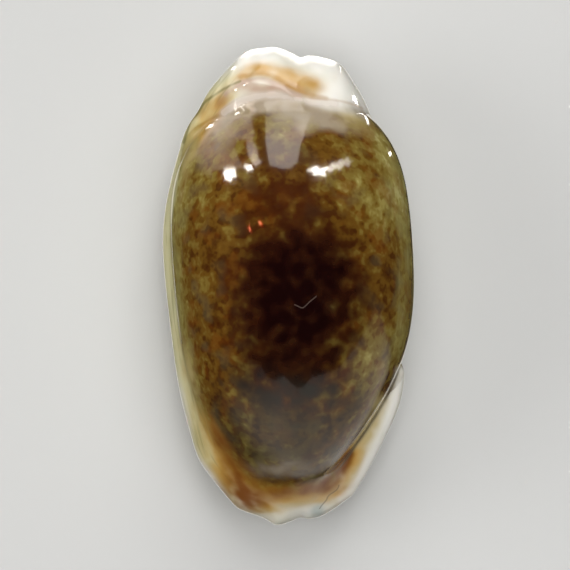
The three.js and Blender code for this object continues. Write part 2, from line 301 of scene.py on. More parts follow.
def slit_distance(x, y, z):
    """The space of the slit, under its round roof."""
    half = slit_half(y)
    roof = mix(SLIT["roof"], SLIT["canal roof"], smooth(*SLIT["canal rises"], np.abs(y)))
    end_roof = np.where(y > 0, SLIT["hind roof"], SLIT["fore roof"])
    roof = mix(roof, end_roof, smooth(*SLIT["canal falls"], np.abs(y))) - half
    return np.hypot(x - slit_x(y), np.maximum(z - roof, 0)) - half


# Spindle of the earlier whorls inside, a thin-walled roll beside the aperture, open on its far side.
SPINDLE = {"centre": (2.0, 0.8, 4.3), "radius": 3.0, "half length": 8.6, "wall": 0.6}
MOUTH = {"centre": (5.0, 0.8, 4.7), "half": (0.95, 3.5, 0.45)}


def spindle_distance(x, y, z):
    """The wall of the spindle, with its mouth cut through."""
    away = [p - c for p, c in zip((x, y, z), SPINDLE["centre"])]

    def turned(inset):
        radius, half = SPINDLE["radius"] - inset, SPINDLE["half length"] - inset
        level = np.sqrt((away[0] ** 2 + away[2] ** 2) / radius ** 2 + (away[1] / half) ** 2)
        slope = np.sqrt((away[0] ** 2 + away[2] ** 2) / radius ** 4 + (away[1] / half ** 2) ** 2)
        return level * (level - 1) / np.maximum(slope, 1e-9)

    past = [np.abs(p - c) - half for p, c, half in zip((x, y, z), MOUTH["centre"], MOUTH["half"])]
    mouth = np.maximum(np.maximum(past[0], past[1]), past[2])
    return np.maximum(np.maximum(turned(0), -turned(SPINDLE["wall"])), -mouth)


# The lips round over into the slit in a shallow valley. The other forms meet in seams of these radii, and
# the spindle bites a little into the wall that carries it.
VALLEY = {"depth": 1.0, "half width": 1.4, "top": 1.5}
BASE_EDGE = 0.3
HOLLOW_EDGE = 0.2
SPINDLE_ROOT = 0.25
SPINDLE_BITE = 0.3
LIP_EDGE = 1.3


def outside_distance(x, y, z):
    """The outside without its slit: whorl and collar melted together, flat where they rest."""
    melted = melt(whorl_distance(x, y, z), collar_distance(x, y, z), seam_radius(x, y))
    across = (x - slit_x(y)) / VALLEY["half width"]
    valley = VALLEY["depth"] * np.exp(-across ** 2) * smooth(VALLEY["top"] + 1, VALLEY["top"], z)
    return -melt(-melted - valley, z, BASE_EDGE)


def shell_distance(x, y, z):
    """The whole shell: negative in its material, in millimetres near its surface."""
    grown = outside_distance(x, y, z)
    hollow = whorl_distance(x, y, z) + WALL
    walls = -melt(-grown, hollow, HOLLOW_EDGE)
    walls = melt(walls, np.maximum(spindle_distance(x, y, z), hollow - SPINDLE_BITE), SPINDLE_ROOT)
    return -melt(-walls, slit_distance(x, y, z), LIP_EDGE)


def surface_net(values, axes):
    """One corner in each grid cell that the surface crosses, one square across each edge that it cuts."""
    inside = values < 0
    shape = np.array(values.shape) - 1
    offsets = [(i, j, k) for i in (0, 1) for j in (0, 1) for k in (0, 1)]

    def corner(array, offset):
        return array[tuple(slice(o, o + n) for o, n in zip(offset, shape))]

    some = np.zeros(shape, bool)
    every = np.ones(shape, bool)
    for offset in offsets:
        some |= corner(inside, offset)
        every &= corner(inside, offset)
    cells = np.argwhere(some & ~every)
    number = np.full(shape, -1)
    number[tuple(cells.T)] = np.arange(len(cells))
    at = {offset: corner(values, offset)[tuple(cells.T)] for offset in offsets}
    total = np.zeros((len(cells), 3))
    count = np.zeros(len(cells))
    for first in offsets:
        for axis in range(3):
            if first[axis]:
                continue
            second = tuple(1 if k == axis else o for k, o in enumerate(first))
            a, b = at[first], at[second]
            crossed = (a < 0) != (b < 0)
            share = np.where(crossed, a / np.where(crossed, a - b, 1), 0)
            point = np.array(first, float)[None].repeat(len(cells), 0)
            point[:, axis] += share
            total += point * crossed[:, None]
            count += crossed
    places = cells + total / count[:, None]
    corners = np.stack([axis[0] + places[:, k] * (axis[1] - axis[0]) for k, axis in enumerate(axes)], 1)

    squares = []
    for axis in range(3):
        u, v = (axis + 1) % 3, (axis + 2) % 3
        low = [slice(1, -1)] * 3
        low[axis] = slice(0, -1)
        high = list(low)
        high[axis] = slice(1, None)
        leaving = inside[tuple(low)] & ~inside[tuple(high)]
        entering = ~inside[tuple(low)] & inside[tuple(high)]
        for cut, outward in ((leaving, True), (entering, False)):
            node = np.argwhere(cut)
            node[:, u] += 1
            node[:, v] += 1
            ring = []
            for du, dv in ((-1, -1), (0, -1), (0, 0), (-1, 0)):
                cell = node.copy()
                cell[:, u] += du
                cell[:, v] += dv
                ring.append(number[tuple(cell.T)])
            squares.append(np.stack(ring if outward else ring[::-1], 1))
    return corners, np.vstack(squares)


def slope_of(distance, points, step=0.02):
    """The distance field's gradient at each point."""
    columns = []
    for axis in range(3):
        shift = np.zeros(3)
        shift[axis] = step
        ahead, behind = points + shift, points - shift
        columns.append((distance(*ahead.T) - distance(*behind.T)) / (2 * step))
    return np.stack(columns, 1)


VOXEL = 0.13
axes = [
    np.arange(-7.8, 7.8 + VOXEL, VOXEL),
    np.arange(-14.5, 14.5 + VOXEL, VOXEL),
    np.arange(-0.5, 12.7 + VOXEL, VOXEL),
]
grid = shell_distance(axes[0][:, None, None], axes[1][None, :, None], axes[2][None, None, :])
corners, squares = surface_net(grid, axes)

# The corners are evened out along the surface and then laid exactly on it.
edges = np.vstack([squares[:, [0, 1]], squares[:, [1, 2]], squares[:, [2, 3]], squares[:, [3, 0]]])
neighbours = np.bincount(edges[:, 0], minlength=len(corners))[:, None]
for even_out in (0.5, 0.5, 0.5, 0):
    middle = np.stack([
        np.bincount(edges[:, 0], corners[edges[:, 1], axis], len(corners)) for axis in range(3)
    ], 1) / neighbours
    corners = corners + even_out * (middle - corners)
    for press in range(2):
        slope = slope_of(shell_distance, corners)
        off = shell_distance(*corners.T)[:, None]
        step = off * slope / np.maximum((slope ** 2).sum(1, keepdims=True), 0.2)
        corners = corners - np.clip(step, -VOXEL / 2, VOXEL / 2)

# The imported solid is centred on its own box, so the skin is centred on it too.
centring = np.array([(cad_low[k] + cad_high[k]) / 2 / MM for k in range(2)] + [0.0])
centring[:2] -= (corners.min(0)[:2] + corners.max(0)[:2]) / 2

skin = bpy.data.meshes.new("shell_skin")
skin.from_pydata(((corners + centring) * MM).tolist(), [], squares.tolist())
skin.shade_smooth()


def keep_on_skin(name, values):
    """Stores one number for each corner, for the finish or the teeth to read."""
    skin.attributes.new(name, "FLOAT", "POINT").data.foreach_set("value", np.asarray(values, np.float32))


x, y, z = corners.T

# The inside is coarser than the outside, except for the glimpse of it that shows through the aperture: this
# far past the slit's sides, and up to this height.
LEFT_AFTER_THINNING = 0.555
GLIMPSE = {"margin": 0.3, "top": 2.6}
deep = whorl_distance(x, y, z) < -0.75 * WALL
beside = np.abs(x - slit_x(y)) > slit_half(y) + GLIMPSE["margin"]
hidden = deep & (beside | (z > GLIMPSE["top"]))

scene = bpy.context.scene
shell = bpy.data.objects.new("grown_shell", skin)
scene.collection.objects.link(shell)
inside_group = shell.vertex_groups.new(name="inside")
inside_group.add(np.flatnonzero(hidden).tolist(), 1.0, "REPLACE")
thinning = shell.modifiers.new("thinner_inside", "DECIMATE")
thinning.vertex_group = "inside"
thinning.ratio = LEFT_AFTER_THINNING


# Enamel of the shell
# The glaze that the mantle lays over the shell: polished aragonite, clear and wet-looking. Under it the back
# is olive, speckled and clouded with brown round a nearly black blotch, and the callus is warm white with
# gold, rose and rust stains. Painted highlights, a painted reflection and painted shade are laid in with
# these. It is glossy because the animal never let it dry or wear.

def colour(code):
    """An sRGB hex value as the linear colour that the nodes mix."""
    channels = [int(code[i:i + 2], 16) / 255 for i in (1, 3, 5)]
    return [c / 12.92 if c <= 0.04045 else ((c + 0.055) / 1.055) ** 2.4 for c in channels] + [1.0]


def add(tree, kind, inputs=(), out=0, **settings):
    """Adds a node with its settings, fills or links its inputs, and gives one of its outputs."""
    node = tree.nodes.new(kind)
    for name, value in settings.items():
        setattr(node, name, value)
    for key, value in (inputs.items() if isinstance(inputs, dict) else enumerate(inputs)):
        if isinstance(value, bpy.types.NodeSocket):
            tree.links.new(value, node.inputs[key])
        else:
            node.inputs[key].default_value = value
    return node.outputs[out] if node.outputs else None


# Stains, painted light and painted shade lie on the upper side, and none on the aperture's walls.
SLIT_WALL = 0.4
stain_and_light_area = smooth(1.2, 2.8, z) * (slit_distance(x, y, z) > SLIT_WALL)


def stain_and_light_mark(name, spots=(), lines=()):
    """Stores one mark, stains and painted light and shade alike, made of soft oval spots (middle, half
    widths, turn in degrees, strength) and soft lines (points, half width, strength), in millimetres seen
    from above."""
    left_bare = 1
    for (cx, cy), (half_u, half_v), turn, strength in spots:
        cos, sin = math.cos(math.radians(turn)), math.sin(math.radians(turn))
        u = ((x - cx) * cos + (y - cy) * sin) / half_u
        v = ((y - cy) * cos - (x - cx) * sin) / half_v
        left_bare = left_bare * (1 - strength * np.exp(-u * u - v * v))
    for points, half_width, strength in lines:
        away = line_distance(round_line(points, False, 4), x, y, False) / half_width
        left_bare = left_bare * (1 - strength * np.exp(-away ** 2))
    keep_on_skin(name, (1 - left_bare) * stain_and_light_area)


# A fine line is known only this near to it and above this height. Elsewhere its corners are out of reach.
LINE_REACH = 0.6
LINE_LOWEST = 3
OUT_OF_REACH = 9


def off_line(points):
    """How far to one side of a line each corner lies, and OUT_OF_REACH more where the line isn't."""
    line = round_line(points, False)
    heading = np.gradient(line, axis=0)
    closest = np.argmin(np.hypot(x[:, None] - line[None, :, 0], y[:, None] - line[None, :, 1]), 1)
    away = np.stack([x, y], 1) - line[closest]
    turned = heading[closest, 0] * away[:, 1] - heading[closest, 1] * away[:, 0]
    past_end = (closest == 0) | (closest == len(line) - 1)
    too_far = (np.hypot(*away.T) > LINE_REACH) | (z < LINE_LOWEST)
    return np.clip(turned / np.hypot(*heading[closest].T), -1, 1) + OUT_OF_REACH * (past_end | too_far)


# The white margin on the side of the outer lip: its width seen from above, at places along the shell. On the
# other side the callus ends at the crease.
MARGIN = {
    "along": (-11.3, -9.6, -7.8, -5.5, -3.2, -0.8, 3.3, 5.0, 6.2, 8.0, 9.5),
    "width": (1.2, 1.05, 0.68, 0.6, 0.42, 0.47, 0.4, 0.45, 0.35, 0.1, 0.15),
}
seam = whorl_distance(x, y, z) - collar_distance(x, y, z)
inward = read_plan(rim_depth, x, y)
margin = np.interp(y, MARGIN["along"], MARGIN["width"]) - inward
on_lip_side = smooth(-2.0, -4.0, x) * smooth(10.2, 8.6, y) * smooth(1.8, 2.6, z)
edge = mix(seam, margin, on_lip_side)

# On the columella side the back's colour runs down to the rim, except at the two ends. The aperture and the
# inside are as pale as the base. Each smooth fades in between two places in millimetres.
stained = smooth(2.4, 3.2, z) * smooth(4.8, 5.8, x)
edge = edge - stained * smooth(-5.3, -4.5, y + 0.8 * (z - 3.1)) * smooth(8.5, 7.0, y)
edge = np.where((slit_distance(x, y, z) < SLIT_WALL) | (whorl_distance(x, y, z) < -0.6), 1.0, edge)
softness = mix(0.05, 0.45, smooth(8.6, 10.4, y))
softness = mix(softness, 0.8, smooth(-8.0, -10.5, y) * smooth(3.6, 2.0, x))
softness = mix(softness, 0.14, on_lip_side)
keep_on_skin("callus", np.clip(0.5 + edge / softness / 4, 0, 1))
keep_on_skin("inward", inward)
keep_on_skin("lip_side_callus", smooth(-2.0, -4.0, x) * smooth(-0.2, 0.1, edge) * smooth(1.4, 3.2, z))
# Painted shade: a soft dark band along the seam between back and callus, on the columella side's front half.
keep_on_skin("shaded_crease", np.exp(-((seam + 0.02) / 0.18) ** 2) * smooth(1.5, 2.5, x) * smooth(-4.2, -5.2, y)
             * smooth(-11.4, -9.8, y))
glazed = np.clip(1 + margin / 1.1, 0, 1) * on_lip_side
# On the columella side the mark is painted light, which lightens the very rim.
glazed = glazed + 0.6 * np.clip((0.9 - inward) / 0.8, 0, 1) * smooth(3.0, 5.0, x) * smooth(10.0, 8.5, y)
keep_on_skin("glazed_edge_and_rim_light", glazed * smooth(2.2, 3.0, z) * smooth(-10.5, -8.5, y))

# Where each of the other tones, stains, painted lights and painted shades lies.
stain_and_light_mark("olive", [
    ((5.7, 4.8), (1.2, 2.4), 0, 0.8),
    ((5.0, 8.2), (1.0, 1.2), 20, 1.0),
    ((3.9, 5.9), (2.2, 1.4), -20, 0.7),
    ((4.9, -5.6), (1.3, 2.4), 0, 0.9),
    ((-5.3, 6.6), (1.1, 2.0), -8, 0.7),
    ((3.6, 8.2), (1.8, 0.8), -10, 0.5),
    ((-5.4, -5.6), (0.8, 2.2), 14, 0.4),
])
stain_and_light_mark("brown", [
    ((5.5, 0.2), (1.7, 3.0), 0, 0.9),
    ((2.0, 8.4), (0.9, 1.3), 0, 0.8),
    ((-3.7, 0.6), (1.6, 2.6), 0, 0.8),
    ((-5.2, 2.6), (1.2, 1.4), 0, 0.5),
    ((-3.6, -3.4), (1.4, 2.6), 0, 0.9),
    ((-4.6, -7.4), (1.0, 2.0), 20, 0.7),
    ((-2.6, 4.2), (1.4, 1.8), 0, 0.8),
    ((0.2, 5.0), (2.6, 3.0), 0, 0.9),
    ((3.4, 3.2), (1.4, 1.2), 0, 0.6),
    ((0.2, -6.8), (3.6, 3.2), 0, 0.7),
])
stain_and_light_mark("red_brown", [
    ((-0.2, 4.6), (2.4, 3.2), 0, 1.0),
    ((-0.6, 8.0), (1.8, 1.2), 0, 0.6),
    ((0.5, -0.4), (4.2, 4.6), 0, 1.0),
])
stain_and_light_mark("blotch", [
    ((0.5, -0.9), (3.6, 4.7), 0, 0.95),
    ((-1.0, 1.2), (1.6, 1.2), 0, 0.4),
    ((2.6, 1.2), (1.4, 1.0), 0, 0.4),
    ((0.8, -1.6), (1.4, 2.0), 0, 0.6),
    ((-1.4, -5.2), (1.8, 1.3), 0, 0.45),
    ((0.6, -6.0), (2.0, 1.5), 0, 0.6),
])
# Painted shade: a dark grey-olive veil over the front slope of the back.
stain_and_light_mark("painted_front_shade", [
    ((0.2, -7.0), (3.4, 1.8), 0, 1.0),
    ((0.2, -9.6), (3.0, 1.8), 0, 1.0),
    ((-2.2, -8.2), (1.6, 2.2), 20, 1.0),
    ((3.4, -7.4), (1.2, 1.8), -30, 0.6),
])
# A thin grey-mauve callus film at both ends of the back, in part a painted reflection.
stain_and_light_mark("film_and_painted_reflection", [
    ((-0.6, 11.0), (3.4, 0.6), 2, 1.0),
    ((-3.1, 10.3), (1.3, 0.7), 24, 0.8),
    ((-1.7, 10.5), (0.8, 0.4), 0, 0.9),
    ((-2.4, 9.9), (0.4, 0.5), 0, 0.6),
    ((-0.3, 10.0), (0.8, 0.7), 0, 0.55),
    ((2.0, 10.0), (1.8, 0.8), -8, 0.9),
    ((2.3, 9.5), (1.5, 0.45), -16, 0.6),
    ((1.0, 9.2), (0.6, 0.5), 0, 0.7),
    ((-3.9, 8.9), (0.9, 1.6), -25, 0.6),
    ((-0.4, -10.6), (2.6, 0.7), 0, 0.45),
])
stain_and_light_mark("straw", [
    ((-5.0, 10.0), (1.3, 0.6), 52, 0.8),
    ((-5.6, 8.2), (0.5, 1.7), -18, 0.8),
    ((3.7, 9.7), (1.5, 0.7), -30, 0.6),
    ((1.2, 11.5), (1.0, 0.4), -20, 0.6),
    ((-1.2, -13.0), (1.2, 0.3), 0, 0.8),
    ((3.8, -11.2), (0.6, 1.2), -38, 0.9),
    ((-4.7, -9.3), (0.7, 2.6), 26, 1.0),
    ((-5.8, -5.0), (0.4, 2.4), 14, 0.8),
    ((-3.9, -11.3), (0.5, 1.4), 38, 0.8),
    ((0.8, -12.5), (2.0, 0.5), 4, 0.9),
], [
    ([(5.4, -6.7), (4.9, -8.1), (4.2, -9.4), (3.6, -10.6)], 0.45, 1.0),
])
# Whiter callus, in part a painted highlight along the hind lobes' upper edges and painted light along the
# rims and front tip.
stain_and_light_mark("white_and_painted_highlight", [
    ((-1.7, 13.4), (2.2, 0.6), 4, 0.9),
    ((-3.6, 12.6), (1.2, 0.5), 40, 0.5),
    ((2.2, 12.9), (1.7, 0.8), -12, 0.9),
    ((2.9, 11.2), (1.5, 0.6), -14, 0.9),
    ((2.2, 10.8), (1.4, 0.4), -10, 0.7),
    ((2.8, 10.3), (1.8, 0.4), -12, 0.3),
    ((3.4, 12.0), (0.8, 0.6), 0, 0.9),
    ((4.1, 11.2), (0.6, 1.3), 30, 0.7),
    ((1.2, -13.2), (1.4, 0.5), 8, 0.8),
    ((-6.2, -7.0), (0.4, 2.8), 14, 0.6),
    ((-4.6, -11.2), (0.4, 2.4), 38, 0.8),
], [
    ([(6.6, -5.0), (6.3, -6.6), (5.7, -8.4), (4.9, -10.0), (3.9, -11.7), (3.2, -12.4)], 0.4, 0.8),
])
stain_and_light_mark("film_and_painted_reflection_edge", lines=[
    ([(-3.7, 10.1), (-2.8, 10.7), (-1.9, 11.0), (-0.8, 11.1), (0.2, 10.9), (1.4, 10.7),
      (2.7, 10.6)], 0.28, 0.9),
])
stain_and_light_mark("gold", [
    ((-1.6, 12.7), (0.9, 0.4), 0, 0.9),
    ((-0.1, 12.4), (0.9, 0.5), -10, 0.5),
    ((-0.2, 12.0), (0.5, 0.3), -30, 0.7),
    ((0.3, 11.9), (1.0, 0.5), -10, 0.9),
    ((1.3, 11.8), (0.9, 0.5), -20, 1.0),
    ((-2.8, 12.1), (0.8, 0.4), 35, 0.6),
    ((-4.2, 10.5), (1.3, 0.6), 48, 0.9),
    ((-4.9, 9.2), (0.5, 1.2), -22, 0.6),
    ((-4.2, -9.0), (0.5, 2.2), 28, 0.9),
    ((-3.2, -11.2), (0.9, 1.8), 40, 1.0),
    ((-1.6, -12.3), (1.5, 0.7), -20, 0.9),
    ((0.6, -12.1), (2.8, 0.6), 0, 0.9),
    ((2.6, -11.6), (1.2, 0.6), 38, 0.9),
    ((3.7, -10.2), (1.3, 0.5), 62, 0.9),
], [
    ([(-2.6, 12.15), (-2.2, 12.25), (-1.5, 12.3), (-0.8, 12.1), (-0.1, 11.8), (0.5, 11.5),
      (1.4, 11.1)], 0.3, 0.6),
])
stain_and_light_mark("rose", [
    ((-1.5, 11.5), (1.7, 0.4), 0, 1.0),
    ((-3.8, 10.8), (0.9, 0.4), 42, 0.6),
    ((-4.4, 9.6), (0.6, 0.8), 30, 0.4),
    ((0.6, 11.5), (0.9, 0.25), -30, 0.5),
])
# Amber stains, and painted shade along the furrow round the hind end and along a crease on its right.
stain_and_light_mark("amber_and_furrow_shade", [
    ((1.3, 11.8), (0.7, 0.3), -25, 0.7),
    ((-1.7, 12.6), (0.5, 0.2), 0, 0.5),
    ((-3.9, 10.6), (0.6, 0.3), 45, 0.5),
], [
    ([(-2.8, 12.2), (-2.2, 12.3), (-1.5, 12.4), (-0.8, 12.2), (-0.1, 11.8), (0.5, 11.4), (1.2, 11.1),
      (2.2, 10.9)], 0.16, 0.8),
    ([(0.1, 11.05), (0.7, 11.0), (1.4, 10.9), (2.7, 10.8), (3.7, 10.6), (4.3, 10.4)], 0.09, 0.6),
])
stain_and_light_mark("crest", lines=[
    ([(-3.6, 11.2), (-2.9, 11.7), (-2.4, 11.9), (-1.5, 12.0), (-0.9, 11.8), (-0.4, 11.5), (0.2, 11.2),
      (0.7, 11.0)], 0.2, 0.8),
])
stain_and_light_mark("rust", [
    ((-4.0, -9.0), (0.5, 1.2), 30, 0.8),
    ((-3.0, -10.8), (0.9, 1.4), 30, 0.8),
    ((-2.4, -12.2), (1.5, 0.9), -18, 1.0),
    ((0.6, -11.9), (3.0, 0.5), 4, 0.8),
    ((-4.6, -7.6), (0.25, 0.9), 24, 0.4),
], [
    ([(3.5, -9.8), (3.2, -10.6), (2.7, -11.2), (2.1, -11.6)], 0.45, 1.0),
])
# Painted shade: a thin dark olive line in the crease round the hind end on the outer lip's side.
stain_and_light_mark("lip_side_shaded_crease", lines=[
    ([(-2.8, 11.9), (-3.3, 11.7), (-3.9, 11.4), (-4.5, 11.0), (-4.9, 10.7), (-5.3, 10.1), (-5.7, 9.6),
      (-6.1, 8.4)], 0.1, 0.8),
])
stain_and_light_mark("clear_tip", [((1.7, -13.1), (0.5, 0.4), 30, 1.0)])
keep_on_skin("off_crack", off_line([
    (3.0, -11.5), (2.85, -11.86), (2.38, -12.2), (2.21, -12.5), (1.92, -12.85), (1.8, -13.08)]))
keep_on_skin("off_scratch", off_line([
    (0.28, -0.99), (0.6, -1.15), (0.86, -1.22), (1.2, -0.9), (1.74, -0.46)]))

enamel = bpy.data.materials.new("cowrie_enamel")
enamel.use_nodes = True
tree = enamel.node_tree
tree.nodes.clear()
place = add(tree, "ShaderNodeTexCoord", out="Object")

# Uneven patches, each as a signed noise of its own size in millimetres and its own detail.
noise = {}
for name, size, detail in (("speckle", 0.75, 1.5), ("fleck", 0.5, 0.5), ("grain", 0.2, 0.0),
                           ("cloud", 3.4, 1.0), ("hue", 1.3, 2.0), ("drift", 1.5, 1.0)):
    noise[name] = add(tree, "ShaderNodeTexNoise",
                      {"Vector": place, "Scale": 1 / (size * MM), "Detail": detail}, normalize=False)

# Back: olive, paler by the margins, with soft brown speckles and round flecks that gather in clouds.
flecks = add(tree, "ShaderNodeMapRange", (noise["fleck"], 0.0, 0.45, 0.0, 1.0),
             interpolation_type="SMOOTHSTEP")
brownness = 0.45
for part, weight in ((noise["speckle"], 0.23), (noise["cloud"], 0.15), (noise["grain"], 0.08),
                     (flecks, 0.17)):
    brownness = add(tree, "ShaderNodeMath", (part, weight, brownness), operation="MULTIPLY_ADD")
for name, weight in (("olive", -0.16), ("brown", 0.2), ("glazed_edge_and_rim_light", -0.32)):
    mark = add(tree, "ShaderNodeAttribute", out="Fac", attribute_name=name)
    brownness = add(tree, "ShaderNodeMath", (mark, weight, brownness), operation="MULTIPLY_ADD")
back = add(tree, "ShaderNodeValToRGB", (brownness,))
BACK = [(0.0, "#aba36a"), (0.18, "#8e8044"), (0.36, "#766229"), (0.55, "#624415"), (0.75, "#492a0b"),
        (0.95, "#331906")]
ramp = back.node.color_ramp
ramp.interpolation = "EASE"
while len(ramp.elements) < len(BACK):
    ramp.elements.new(0.5)
for stop, (position, code) in zip(ramp.elements, BACK):
    stop.position = position
    stop.color = colour(code)
# The hue wanders to a warmer brown here and a greyer olive there.
tint = back
for part, start, end, most, code in ((noise["hue"], 0.0, 0.5, 0.4, "#693409"),
                                     (noise["drift"], 0.0, 0.6, 0.3, "#6b6644")):
    share = add(tree, "ShaderNodeMapRange", (part, start, end, 0.0, most), interpolation_type="SMOOTHSTEP")
    tint = add(tree, "ShaderNodeMix", {0: share, 6: tint, 7: colour(code)}, 2, data_type="RGBA")

# Everything else is laid over the back in turn: its mark, its colour, its greatest share, how ragged the
# drift and the speckle make it, and the levels of the mark between which it fades in.
LAYERS = [
    ("red_brown", "#3c1a07", 0.75, 0.5, (0.1, 0.9)),
    ("blotch", "#270e06", 0.95, 0.3, (0.1, 0.6)),
    ("blotch", "#120303", 0.95, 0.5, (0.4, 1.0)),
    # Painted shade over the front slope of the back.
    ("painted_front_shade", "#2a2820", 0.6, 0.5, (0.0, 0.9)),
    # A glazed greenish edge, and painted light along the columella side's rim.
    ("glazed_edge_and_rim_light", "#a69b58", 0.4, 0.5, (0.2, 1.0)),
    # A thin callus film, in part a painted reflection.
    ("film_and_painted_reflection", "#a69883", 0.85, 0.4, (0.05, 0.9)),
    ("callus", "#e0dbc9", 1.0, 0.2, (0.25, 0.75)),
    ("lip_side_callus", "#cfc88e", 0.7, 0.1, (0.2, 0.9)),
    ("straw", "#bdaa74", 0.85, 0.4, (0.0, 1.0)),
    # Whiter callus, in part a painted highlight and painted light on the lobes and rims.
    ("white_and_painted_highlight", "#f3f0e7", 0.9, 0.2, (0.05, 0.9)),
    ("gold", "#c4953c", 0.85, 0.3, (0.0, 1.1)),
    ("rose", "#a37f68", 0.8, 0.4, (0.0, 1.1)),
    ("rust", "#6e350a", 0.9, 0.3, (0.1, 1.1)),
    ("film_and_painted_reflection_edge", "#cfc3b8", 0.6, 0.3, (0.05, 0.9)),
    # Amber stains, and painted shade along the furrows.
    ("amber_and_furrow_shade", "#a87a2c", 0.5, 0.4, (0.0, 1.0)),
    ("crest", "#b29889", 0.8, 0.3, (0.0, 1.0)),
    # Painted shade in the crease on the outer lip's side.
    ("lip_side_shaded_crease", "#75703c", 0.7, 0.2, (0.1, 0.85)),
    # Painted shade in the crease between back and callus.
    ("shaded_crease", "#4a3f22", 0.8, 0.2, (0.0, 1.0)),
    ("clear_tip", "#a9b5b0", 0.7, 0.2, (0.05, 0.85)),
]
ragged = add(tree, "ShaderNodeMath", (noise["speckle"], 0.7, noise["drift"]), operation="MULTIPLY_ADD")
laid = {}
for name, code, most, raggedness, (low_level, high_level) in LAYERS:
    mark = add(tree, "ShaderNodeAttribute", out="Fac", attribute_name=name)
    gain = add(tree, "ShaderNodeMath", (ragged, raggedness, 1.0), operation="MULTIPLY_ADD")
    mark = add(tree, "ShaderNodeMath", (mark, gain), operation="MULTIPLY")
    laid[name] = add(tree, "ShaderNodeMapRange", (mark, low_level, high_level, 0.0, most),
                     interpolation_type="SMOOTHSTEP")
    tint = add(tree, "ShaderNodeMix", {0: laid[name], 6: tint, 7: colour(code)}, 2, data_type="RGBA")

# Growth wrinkles: fine streaks that follow the edge, dark on the white margin and milky on the glazed sides,
# each about this wide and long.
STREAK_WIDTH = 0.22
STREAK_LENGTH = 3.5
inward_there = add(tree, "ShaderNodeAttribute", out="Fac", attribute_name="inward")
along_there = add(tree, "ShaderNodeSeparateXYZ", (place,), 1)
across_streak = add(tree, "ShaderNodeMath", (inward_there, 1 / STREAK_WIDTH), operation="MULTIPLY")
along_streak = add(tree, "ShaderNodeMath", (along_there, 1 / (STREAK_LENGTH * MM)), operation="MULTIPLY")
streak_place = add(tree, "ShaderNodeCombineXYZ", (across_streak, along_streak))
streaks = add(tree, "ShaderNodeTexNoise", {"Vector": streak_place, "Scale": 1.0, "Detail": 2.0},
              normalize=False)
streaked = add(tree, "ShaderNodeMapRange", (streaks, 0.1, 0.8, 0.0, 0.5), interpolation_type="SMOOTHSTEP")
streaked = add(tree, "ShaderNodeMath", (streaked, laid["lip_side_callus"]), operation="MULTIPLY")
tint = add(tree, "ShaderNodeMix", {0: streaked, 6: tint, 7: colour("#6f683c")}, 2, data_type="RGBA")
milky = add(tree, "ShaderNodeMapRange", (streaks, 0.05, 0.6, 0.0, 0.6), interpolation_type="SMOOTHSTEP")
milky = add(tree, "ShaderNodeMath", (milky, laid["glazed_edge_and_rim_light"]), operation="MULTIPLY")
tint = add(tree, "ShaderNodeMix", {0: milky, 6: tint, 7: colour("#aaa873")}, 2, data_type="RGBA")

# A hairline crack at the front end and a faint scratch in the shape of a tick, in the middle of the back.
for name, half_width, most, code in (("off_crack", 0.06, 0.55, "#5a5138"),
                                     ("off_scratch", 0.05, 0.25, "#8a776c")):
    off = add(tree, "ShaderNodeAttribute", out="Fac", attribute_name=name)
    off = add(tree, "ShaderNodeMath", (off,), operation="ABSOLUTE")
    laid[name] = add(tree, "ShaderNodeMapRange", (off, 0.01, half_width, most, 0.0),
                     interpolation_type="SMOOTHSTEP")
    tint = add(tree, "ShaderNodeMix", {0: laid[name], 6: tint, 7: colour(code)}, 2, data_type="RGBA")

# Low relief: the wrinkles, a faint waviness, and the grooves of the crack and the scratch.
relief = 0.0
for part, weight in ((streaks, 0.03), (noise["drift"], 0.006), (laid["off_crack"], -0.8),
                     (laid["off_scratch"], -0.4)):
    relief = add(tree, "ShaderNodeMath", (part, weight, relief), operation="MULTIPLY_ADD")
bump = add(tree, "ShaderNodeBump", {"Height": relief, "Strength": 0.6, "Distance": 0.05 * MM})

# The enamel is polished all over, but duller on the edge of the thin film and in the crease. A little light
# enters it, as in porcelain.
gloss = add(tree, "ShaderNodeMapRange", (noise["grain"], -1.0, 1.0, 0.05, 0.11))
for name, weight in (("film_and_painted_reflection_edge", 0.4), ("shaded_crease", 0.5)):
    gloss = add(tree, "ShaderNodeMath", (laid[name], weight, gloss), operation="MULTIPLY_ADD")
skin_shader = add(tree, "ShaderNodeBsdfPrincipled", {
    "Base Color": tint, "Roughness": gloss, "Normal": bump, "IOR": 1.45,
    "Subsurface Weight": 0.12, "Subsurface Radius": (1.0, 0.75, 0.5), "Subsurface Scale": 0.6 * MM})
add(tree, "ShaderNodeOutputMaterial", {"Surface": skin_shader})


# Teeth of the shell
# Both lips carry a row of short ridges that run square across them into the aperture, as thickenings of the
# same glazed callus. One set of rules raises them out of the skin, once for each lip.

# Which side of the slit each lip is on, how many teeth it has, where its row begins and ends along the shell
# and how far it reaches past the lip's edge, then how high the ridges rise and how deep the furrows are.
LIPS = {
    "outer_lip": {"side": -1, "teeth": 15, "first": -11.3, "last": 11.4, "reach": 1.5},
    "columella": {"side": 1, "teeth": 14, "first": -10.7, "last": 10.6, "reach": 1.2},
}
RIDGE = 0.34
FURROW = 0.22

past_edge = np.abs(x - slit_x(y)) - slit_half(y)
keep_on_skin("lip_side", np.sign(x - slit_x(y)))
keep_on_skin("past_edge", past_edge)
keep_on_skin("on_lip", smooth(2.1, 1.3, z) * (whorl_distance(x, y, z) > -2.6))


